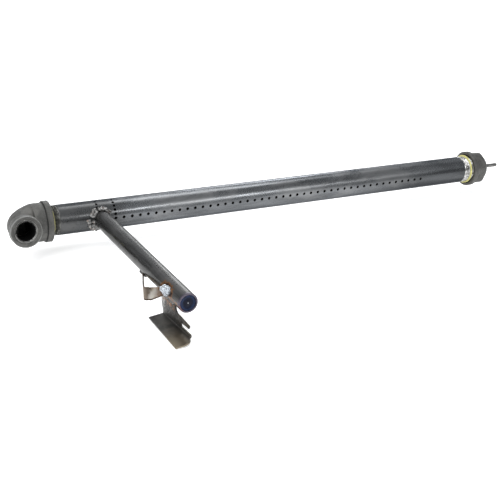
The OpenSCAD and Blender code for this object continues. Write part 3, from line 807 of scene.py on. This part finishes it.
def make_elbow():
    """The casting's legs and bend are melted together and bored; its two bands are crisp rings."""
    face, x = ELBOW_HI[0], ELBOW_AT.x
    body_r, bend_r, neck_r = 21.1 * MM, 14 * MM, 13.4 * MM
    reach, bore, mouth_r = INLET_REACH, FITTING_BORE_R, INLET_THREAD_R + 1.15 * MM
    inlet = Matrix.Translation(ELBOW_AT) @ INLET_AXIS.to_track_quat("X", "Z").to_matrix().to_4x4()
    bm = bmesh.new()
    add_polar(bm, rod(x + bend_r, face - 2 * MM, body_r), segments=96)
    add_bend(bm, bend_r, body_r, neck_r)
    leg_end, leg_r = reach - 4 * MM, INLET_BAND_R - 1.6 * MM
    add_polar(bm, [(bend_r, 0), (bend_r, neck_r), (leg_end, leg_r), (leg_end, 0)], segments=96, place=inlet)
    bmesh.ops.recalc_face_normals(bm, faces=bm.faces)
    skin = fused(bm, "elbow_casting", 0.55 * MM, 4)
    roughen(skin, 0.16 * MM, 5.0 * MM, 7.7, 4)
    socket_end = face - 18 * MM
    passage = [(x, 0), (x, PIPE_BORE_R), (socket_end, PIPE_BORE_R), (socket_end, bore), (face - 1.6 * MM, bore)]
    passage += [(face + 0.6 * MM, bore + 1.9 * MM), (face + 0.6 * MM, 0)]
    skin = cut(skin, polar("elbow_bore", passage, segments=96), "elbow_casting", 50)
    throat_r, seat = INLET_THREAD_R - 0.9 * MM, reach - 16.5 * MM
    passage = [(0, 0), (0, throat_r), (seat, throat_r), (seat, mouth_r), (reach - 0.5 * MM, mouth_r)]
    passage += [(reach + 0.8 * MM, mouth_r + 1.0 * MM), (reach + 0.8 * MM, 0)]
    skin = cut(skin, polar("inlet_bore", passage, segments=96, place=inlet), "elbow_casting", 50)
    link("inlet_elbow_casting", skin, "inlet_elbow", "cast_fitting", cast_fitting(1.15))
    make_elbow_band(face, bore)
    make_elbow_lip(inlet, reach, mouth_r)
    make_inlet_thread(inlet, reach, mouth_r)


def make_elbow_band(face, bore):
    r, left, edge = 22.45 * MM, face - ELBOW_BAND_W, 0.5 * MM
    profile = [(left, bore + 1 * MM), (left, r - edge), (left + edge, r)]
    profile += [(left + k * ELBOW_BAND_W / 5, r) for k in range(1, 5)]
    profile += [(face - 0.6 * MM, r), (face, r - 0.6 * MM), (face, bore + 2 * MM), (face - 2 * MM, bore + 1 * MM)]
    mesh = roughen(polar("elbow_band", profile, segments=144, sharp=28), 0.10 * MM, 3.0 * MM, 2.2, 4)
    link("inlet_elbow_band", mesh, "inlet_elbow", "cast_fitting", cast_fitting(1.1))


def make_elbow_lip(place, reach, mouth_r):
    """The band round the inlet, with a proud rim and a chamfer down to the thread."""
    r, width, edge, sunk = INLET_BAND_R, 7.0 * MM, 0.55 * MM, reach - 0.35 * MM
    back = reach - width
    profile = [(back, mouth_r + 1.2 * MM), (back, r - 0.5 * MM), (back + 0.5 * MM, r)]
    profile += [(reach - k * width / 5, r) for k in range(4, 0, -1)]
    profile += arc((reach - edge, r - edge), edge, 90, 0, 4)
    profile += [(reach, r - 1.3 * MM), (sunk, r - 1.7 * MM), (sunk, mouth_r + 2.3 * MM)]
    profile += [(reach - 2.6 * MM, mouth_r + 0.1 * MM), (reach - 3.6 * MM, mouth_r + 0.1 * MM)]
    mesh = roughen(polar("elbow_lip", profile, segments=128, place=place, sharp=28), 0.07 * MM, 3.0 * MM, 4.2, 3)
    link("inlet_elbow_lip", mesh, "inlet_elbow", "cast_fitting", cast_fitting(1.15, 0.34))


def make_inlet_thread(place, reach, outer):
    """The helical thread inside the inlet, a sleeve that fills the counterbore."""
    pitch = 1.814 * MM
    start, end = reach - 16.4 * MM, reach - 0.9 * MM
    steps = round((end - start) / pitch * 12)
    stations = [(start + (end - start) * k / steps, INLET_THREAD_R - 0.35 * MM) for k in range(steps + 1)]

    def radius(along, r, angle):
        if r > INLET_THREAD_R:
            return r
        wave = thread_wave(along / pitch + angle / (2 * math.pi))
        flare = max(0.0, along - (end - 2.0 * MM)) * 0.45
        return r + (along - start) * TAPER + 1.0 * MM * (1 - wave) + flare * wave

    profile = [*stations, (end, outer), (start, outer)]
    mesh = polar("inlet_thread", profile, segments=120, radius=radius, place=place, sharp=50)
    link("inlet_elbow_thread", mesh, "inlet_elbow", "cast_fitting", inlet_thread())


def make_sealant():
    """Thread compound squeezed out at both fittings, uneven and smeared."""
    cap_x, elbow_x = CAP_LO[0], ELBOW_HI[0]

    def uneven(seed, depth):
        def radius(along, r, angle):
            if r < PIPE_R - 0.6 * MM:
                return r
            at = Vector((along * 260, 3.2 * math.cos(angle), 3.2 * math.sin(angle))) + Vector((seed, 0, 0))
            return r + depth * noise.fractal(at, 1.0, 2.0, 4)

        return radius

    base = PIPE_R - 0.7 * MM
    bead = [(cap_x - 3.2 * MM, base), (cap_x - 3.1 * MM, PIPE_R + 0.6 * MM)]
    bead += arc((cap_x - 2.4 * MM, PIPE_R + 1.0 * MM), 0.62 * MM, 170, 10, 8)
    bead += [(cap_x - 1.8 * MM, PIPE_R + 0.6 * MM), (cap_x - 1.4 * MM, PIPE_R + 0.2 * MM), (cap_x - 1.1 * MM, base)]
    mesh = polar("cap_sealant_skin", bead, segments=160, radius=uneven(4.0, 0.26 * MM), sharp=80)
    link("cap_sealant_bead", mesh, "cap_sealant", "thread_sealant", sealant())
    bead = [(elbow_x - 0.8 * MM, base), (elbow_x - 0.5 * MM, PIPE_R + 1.9 * MM)]
    bead += arc((elbow_x + 0.3 * MM, PIPE_R + 1.4 * MM), 0.9 * MM, 120, 5, 8)
    bead += [(elbow_x + 1.8 * MM, PIPE_R + 0.1 * MM), (elbow_x + 2.2 * MM, base)]
    mesh = polar("elbow_sealant_skin", bead, segments=160, radius=uneven(9.0, 0.55 * MM), sharp=80)
    link("elbow_sealant_smear", mesh, "elbow_sealant", "thread_sealant", sealant())


def make_pin():
    r = (PIN_HI[2] - PIN_LO[2]) / 2
    tip = PIN_HI[0] - 0.08 * MM
    profile = [(CAP_HI[0] - 1 * MM, 0), (CAP_HI[0] - 1 * MM, r * 0.8), (-0.5 * MM, r * 0.8), (-0.4 * MM, r)]
    profile += [(k * 1.5 * MM, r) for k in range(1, 9)]
    profile += arc((tip - 0.7 * MM, r - 0.7 * MM), 0.7 * MM, 90, 5, 5) + [(tip, 0)]
    mesh = polar("locating_pin_skin", profile, segments=48, sharp=50)
    roughen(mesh, 0.05 * MM, 2.0 * MM, 5.0)
    link("locating_pin_rod", mesh, "locating_pin", "pin_steel", pin_steel())


def coins(bm, points, radii, flat=False):
    """Overlapping flat drops along a path, as a weld pool freezes one ripple at a time.

    Each drop is radii long, wide and high; flat lays it on the main pipe.
    """
    long, wide, high = radii
    for k, point in enumerate(points):
        ahead = (points[min(k + 1, len(points) - 1)] - points[max(k - 1, 0)]).normalized()
        turn = ahead.to_track_quat("X", "Z").to_matrix()
        if flat:
            up = Vector((0, point.y, point.z)).normalized()
            side = up.cross(ahead).normalized()
            turn = Matrix((side.cross(up), side, up)).transposed()
        wobble = 1 + 0.16 * math.sin(k * 2.4) + 0.08 * math.sin(k * 5.1)
        place = Matrix.Translation(point) @ turn.to_4x4() @ Matrix.Diagonal((long, wide * wobble, high * wobble, 1))
        bmesh.ops.create_icosphere(bm, subdivisions=3, radius=1.0, matrix=place)


def make_bead(node, slot, metal, rows, smooth=1, rough=None, flat=False):
    """Rows of coins melted into one weld bead; a row is a path and its coins' radii."""
    bm = bmesh.new()
    for path, radii in rows:
        coins(bm, path, radii, flat)
    mesh = fused(bm, node + "_skin", 0.26 * MM, smooth)
    if rough:
        roughen(mesh, *rough)
    link(node + "_bead", mesh, node, slot, metal)


def make_pin_weld():
    base = CAP_HI[0]
    bm = bmesh.new()
    cone = [(base - 1.5 * MM, 0), (base - 1.5 * MM, 6.2 * MM)]
    cone += [(base * (1 - part), r * MM) for part, r in ((0.25, 5.0), (0.62, 3.4), (0.98, 2.15), (0.98, 0))]
    add_polar(bm, cone, segments=64)
    turns = [2 * math.pi * k / 17 for k in range(17)]
    ring = [Vector((base + 1.2 * MM, -4.9 * MM * math.cos(a), 4.9 * MM * math.sin(a))) for a in turns]
    coins(bm, ring, (0.9 * MM, 1.3 * MM, 1.3 * MM))
    bmesh.ops.recalc_face_normals(bm, faces=bm.faces)
    mesh = fused(bm, "pin_weld_skin", 0.28 * MM, 2)
    link("pin_weld_cone", mesh, "pin_weld", "weld_metal", weld("weld_metal_pin", 0.07, 0.17, 0.34))


def on_pipe(angle, distance, out=0.0):
    """A point on the main pipe round the tube's root; angle 0 faces +X and 90 degrees faces up."""
    x, z = distance * math.cos(angle), distance * math.sin(angle)
    y = -math.sqrt(PIPE_R**2 - z**2)
    return Vector((TUBE_X + x, y, z)) + Vector((0, y, z)) / PIPE_R * out


def make_root_welds():
    """Each run is a row of drops on the pipe with a second row at the tube's toe."""
    metal = weld("weld_metal", 0.045, 0.30, 0.22, (1.0, 0.99, 0.97), 0.30)
    # node, start and end angle, millimetres from the tube's axis, half width, how much further out it starts
    runs = (
        ("root_weld_side", 176, 246, 12.7, 3.1, 3.0),
        ("root_weld_shoulder", 124, 156, 13.1, 2.7, 0.0),
        ("root_weld_top", 40, 104, 11.4, 2.3, 0.0),
    )
    for node, start, end, distance, fat, swing in runs:
        count = max(4, round(abs(end - start) / 8.5))
        angles = [math.radians(start + (end - start) * k / count) for k in range(count + 1)]
        path = [on_pipe(a, (distance + swing * (1 - k / count)) * MM, 0.2 * MM) for k, a in enumerate(angles)]
        toes = [on_pipe(a, TUBE_R + 0.8 * MM, 1.0 * MM) for a in angles]
        rows = (
            (path, (1.45 * MM, fat * MM, fat * 0.62 * MM)),
            (toes, (1.35 * MM, fat * 0.72 * MM, fat * 0.62 * MM)),
        )
        make_bead(node, "weld_metal", metal, rows, rough=(0.42 * MM, 2.3 * MM, start * 0.1, 4), flat=True)


def strap_path():
    """(place, inward) stations along the strap's middle, in its own plane."""
    centre, mid = STRAP_BEND_R + STRAP_T, STRAP_BEND_R + STRAP_T / 2
    path = [
        (Vector((centre + STRAP_LEG_A * (1 - k / LEG_A_STEPS), STRAP_T / 2, 0)), Vector((0, 1, 0)))
        for k in range(LEG_A_STEPS)
    ]
    for k in range(17):
        a = math.radians(270) - STRAP_BEND * k / 16
        inward = -Vector((math.cos(a), math.sin(a), 0))
        path.append((Vector((centre, centre, 0)) - inward * mid, inward))
    a = math.radians(270) - STRAP_BEND
    along = Vector((math.sin(a), -math.cos(a), 0))
    last, inward = path[-1]
    return path + [(last + along * STRAP_LEG_B * k / 24, inward) for k in range(1, 25)]


def strap_section(dark_from, round_r):
    """The strip's rounded outline, with an extra point on each face where its band of painted shade starts."""
    half_t, half_w = STRAP_T / 2, STRAP_W / 2
    section = [(half_t, dark_from)]
    for cu, cv, start in ((1, 1, 0), (-1, 1, 90), (-1, -1, 180), (1, -1, 270)):
        if start == 180:
            section.append((-half_t, dark_from))
        for b in (math.radians(start + 30 * k) for k in range(4)):
            section.append(
                (cu * (half_t - round_r) + round_r * math.cos(b), cv * (half_w - round_r) + round_r * math.sin(b))
            )
    return section


def make_strap():
    """A strip bent once, swept as a rounded rectangle, laid at its tilt and cut to the tube."""
    round_r, dark_from = 0.42 * MM, -STRAP_W / 2 + 1.5 * MM
    section = strap_section(dark_from, round_r)
    place = Matrix.Translation(STRAP_CORNER) @ Matrix.Rotation(-STRAP_TILT, 4, "X")
    bm = bmesh.new()
    rings = []
    for k, (at, inward) in enumerate(strap_path()):
        bow = 0.105 * MM * math.sin(k * 0.33)
        near_tube = max(0.0, 1 - k / LEG_A_STEPS) ** 1.2
        narrow = 1 - 0.43 * near_tube
        shift = -0.6 * MM * (1 - near_tube) if k < LEG_A_STEPS else 0.0
        points = [at + inward * (u + bow) + Vector((0, 0, v * narrow + shift)) for u, v in section]
        rings.append([bm.verts.new(place @ point) for point in points])
    for sides in close_sweep(bm, rings):
        for k, face in enumerate(sides):
            middle = (section[k][1] + section[(k + 1) % len(section)][1]) / 2
            # The top and bottom edges and the lowest band of each face take the painted shade.
            face.material_index = int(middle > (STRAP_W - round_r) / 2 or middle < dark_from)
    mesh = finish_mesh(bm, "pilot_strap_skin", 50)
    core = polar("tube_core", rod(0.1, 0.24, TUBE_R - 0.1 * MM), segments=96, place=ON_TUBE)
    looks = strap_steel(), strap_edge_shade()
    for look in looks:
        mesh.materials.append(look)
    link("pilot_strap_strip", cut(mesh, core, "pilot_strap_skin", 50), "pilot_strap", "strap_steel", *looks)


def make_strap_weld_front():
    """Three rows along the tube's side: a fat one between two short ones."""
    steps, reach = 10, TUBE_R + 0.5 * MM
    rows = []
    for middle, fat, skip in ((10, 3.3, 0), (27, 2.3, 2), (-8, 2.2, 2)):
        path = []
        for t in (k / steps for k in range(skip, steps + 1 - skip)):
            lean = math.radians(middle - 6 + 14 * t)
            path.append(Vector((TUBE_X - reach * math.cos(lean), (-210.5 - 16.0 * t) * MM, reach * math.sin(lean))))
        rows.append((path, (1.15 * MM, fat * MM, fat * 0.8 * MM)))
    metal = weld("bright_weld", 0.30, 0.66, 0.20, (0.90, 0.97, 1.06), 0.12)
    make_bead("strap_weld_front", "bright_weld", metal, rows, rough=(0.3 * MM, 1.9 * MM, 2.0, 3))


def make_hidden_welds():
    """Straight beads under the tube, at the strap's return and the bracket's web."""
    path = [Vector((TUBE_X - 4.2 * MM, (-155 + 1.0 * k) * MM, -9.4 * MM)) for k in range(13)]
    metal = weld("weld_metal_back", 0.06, 0.19, 0.34)
    make_bead("strap_weld_back", "weld_metal", metal, [(path, (0.9 * MM, 2.3 * MM, 2.0 * MM))])
    path = [Vector((TUBE_X - 3.2 * MM, (-224 + 1.05 * k) * MM, -9.9 * MM)) for k in range(24)]
    metal = weld("weld_metal_foot", 0.07, 0.24, 0.30, (1, 0.97, 0.93), 0.5)
    rows = [(path, (0.95 * MM, 2.0 * MM, 2.0 * MM))]
    make_bead("bracket_weld", "weld_metal", metal, rows, rough=(0.2 * MM, 1.9 * MM, 6.0, 3))


def bracket_outline():
    """The web's (along, up) outline: its foot, the slot, the prong, then the top and the back edge."""
    fold, low, high, deep = -28.8, -27.3, -23.7, 18
    turns = [math.radians(30 * k) for k in range(1, 6)]
    slot = [(deep + 1.8 * math.sin(a), (low + high) / 2 - 1.8 * math.cos(a)) for a in turns]
    prong = [(deep, high), (10, high + 0.4), (4.8, high + 0.1), (3.6, high + 1.7), (3.2, -20.6), (4.6, -20.0)]
    top = [(16, -18.8), (28, -17.7), (30.6, -16.0), (31.6, -13), (32.5, -7.2), (62, -7.2), (61, -19), (57.5, fold)]
    points = [(0, fold), (1.5, low), (deep, low), *slot, *prong, *top]
    return [(y * MM, z * MM) for y, z in points]


def make_bracket():
    """Sheet steel: a slotted web under the tube and a flange bent out from its foot."""
    sheet, bend_r, reach, tilt = 1.5 * MM, 1.9 * MM, 20.5 * MM, math.radians(90 - 7)
    outline = bracket_outline()
    place = Matrix.Translation((TUBE_X + 0.1 * MM - sheet / 2, -257 * MM, 0)) @ Matrix.Rotation(math.radians(3), 4, "Z")
    bm = bmesh.new()

    def corner(x, y, z):
        return bm.verts.new(place @ Vector((x, y, z)))

    web = [corner(0, y, z) for y, z in outline]
    bm.faces.new(web)
    front, back = web[0], web[-1]
    (front_y, fold_z), (back_y, _) = outline[0], outline[-1]
    for a in (tilt * k / 6 for k in range(1, 7)):
        foot_x, foot_z = -bend_r * (1 - math.cos(a)), fold_z - bend_r * math.sin(a)
        row = corner(foot_x, front_y, foot_z), corner(foot_x, back_y, foot_z)
        bm.faces.new((front, back, row[1], row[0]))
        front, back = row

    def on_flange(out, y):
        return corner(foot_x - out * math.sin(tilt), y, foot_z - out * math.cos(tilt))

    rim = ((0.6, -3.4), (1.6, -5.2), (3.4, -6.9), (6.0, -8.2), (9.0, -8.8))
    rim = [on_flange(out * MM, y * MM) for out, y in rim]
    far = on_flange(reach - 2.4 * MM, -8.2 * MM), on_flange(reach - 6.6 * MM, 58.3 * MM)
    bm.faces.new([front, *rim, *far, back])
    bmesh.ops.recalc_face_normals(bm, faces=bm.faces)
    mesh = bpy.data.meshes.new("pilot_bracket_skin")
    bm.to_mesh(mesh)
    bm.free()
    obj = temporary(mesh)
    thick = obj.modifiers.new("sheet", "SOLIDIFY")
    thick.thickness = sheet
    thick.offset = 0
    edge_round = obj.modifiers.new("edges", "BEVEL")
    edge_round.width = 0.28 * MM
    edge_round.segments = 3
    edge_round.limit_method = "ANGLE"
    edge_round.angle_limit = math.radians(50)
    mesh = baked(obj, "pilot_bracket_skin")
    mesh.shade_smooth()
    mesh.set_sharp_from_angle(angle=math.radians(40))
    link("pilot_bracket_sheet", mesh, "pilot_bracket", "bracket_steel", bracket_steel())


make_main_pipe()
make_flash_tube()
make_plug()
make_cap()
make_elbow()
make_sealant()
make_pin()
make_pin_weld()
make_root_welds()
make_strap()
make_strap_weld_front()
make_hidden_welds()
make_bracket()


# ---------------------------------------------------------------- stage, lights and camera

BURNER_MIDDLE = Vector((-0.33, -0.05, 0.0))


def make_floor():
    s = Shader("pale_floor")
    s.set(base_color=(0.93, 0.93, 0.93), roughness=0.8, specular_ior_level=0.1)
    s.set(emission_color=(1.0, 1.0, 1.0), emission_strength=0.45)
    bm = bmesh.new()
    bmesh.ops.create_grid(bm, x_segments=1, y_segments=1, size=9.0)
    mesh = bpy.data.meshes.new("floor")
    bm.to_mesh(mesh)
    bm.free()
    floor = bpy.data.objects.new("floor", mesh)
    floor.location = (0, 0, CAD_BOX[0][2] - 0.2 * MM)
    mesh.materials.append(s.material)
    SCENE.collection.objects.link(floor)


def make_light(name, towards, distance, size, power):
    """A softbox in a direction from the burner, facing it; size is (across, up)."""
    data = bpy.data.lights.new(name, "AREA")
    data.shape = "RECTANGLE"
    data.size, data.size_y = size
    data.energy = power
    lamp = bpy.data.objects.new(name, data)
    way = Vector(towards).normalized()
    lamp.location = BURNER_MIDDLE + way * distance
    lamp.rotation_euler = way.to_track_quat("Z", "Y").to_euler()
    SCENE.collection.objects.link(lamp)


def make_world():
    """White studio walls: brightest behind, dimmer in front and overhead, dark to the left."""
    world = bpy.data.worlds.new("studio")
    world.use_nodes = True
    SCENE.world = world
    s = Nodes(world.node_tree, "Generated")
    across, back, up = s.axis(0), s.axis(1), s.axis(2)
    level = s.span(back, -0.1, 0.6, 0.62, 1.08)
    right_end = s.times(s.span(across, 0.42, 0.64), s.span(up, 0.05, 0.30, 0.0, 0.5))
    level = s.times(level, s.less(right_end))
    level = s.times(level, s.span(across, -0.25, 0.12, 0.38, 1.0))
    out = s.nodes["Background"]
    out.inputs["Color"].default_value = (0.95, 0.975, 1.0, 1)
    s.put(out.inputs["Strength"], level)


CAMERA_AT = (-0.87574, -0.98153, 0.37638)
CAMERA_YAW, CAMERA_PITCH, CAMERA_ROLL = (math.radians(a) for a in (27.952, 21.887, -2.486))
CAMERA_LENS = 71.06


def make_camera():
    """Yaw turns from +Y towards +X, pitch looks down and roll turns about the line of sight."""
    data = bpy.data.cameras.new("camera")
    data.lens = CAMERA_LENS
    data.sensor_width = 36
    camera = bpy.data.objects.new("camera", data)
    turn = Matrix.Rotation(-CAMERA_YAW, 3, "Z") @ Matrix.Rotation(math.pi / 2 - CAMERA_PITCH, 3, "X")
    turn = turn @ Matrix.Rotation(-CAMERA_ROLL, 3, "Z")
    camera.matrix_world = Matrix.Translation(CAMERA_AT) @ turn.to_4x4()
    SCENE.collection.objects.link(camera)
    SCENE.camera = camera


make_floor()
make_world()
make_light("top_strip", (0.28, 0.34, 0.86), 1.6, (0.8, 0.42), 4.8)
make_light("front_card", (0.34, -0.76, 0.46), 1.6, (0.7, 0.18), 4.2)
make_light("back_window", (0.44, 0.80, 0.42), 2.0, (0.44, 0.34), 6.0)
make_light("floor_fill", (-0.60, -0.15, 0.80), 3.0, (3.4, 3.4), 105)
make_camera()
SCENE.view_settings.view_transform = "Standard"
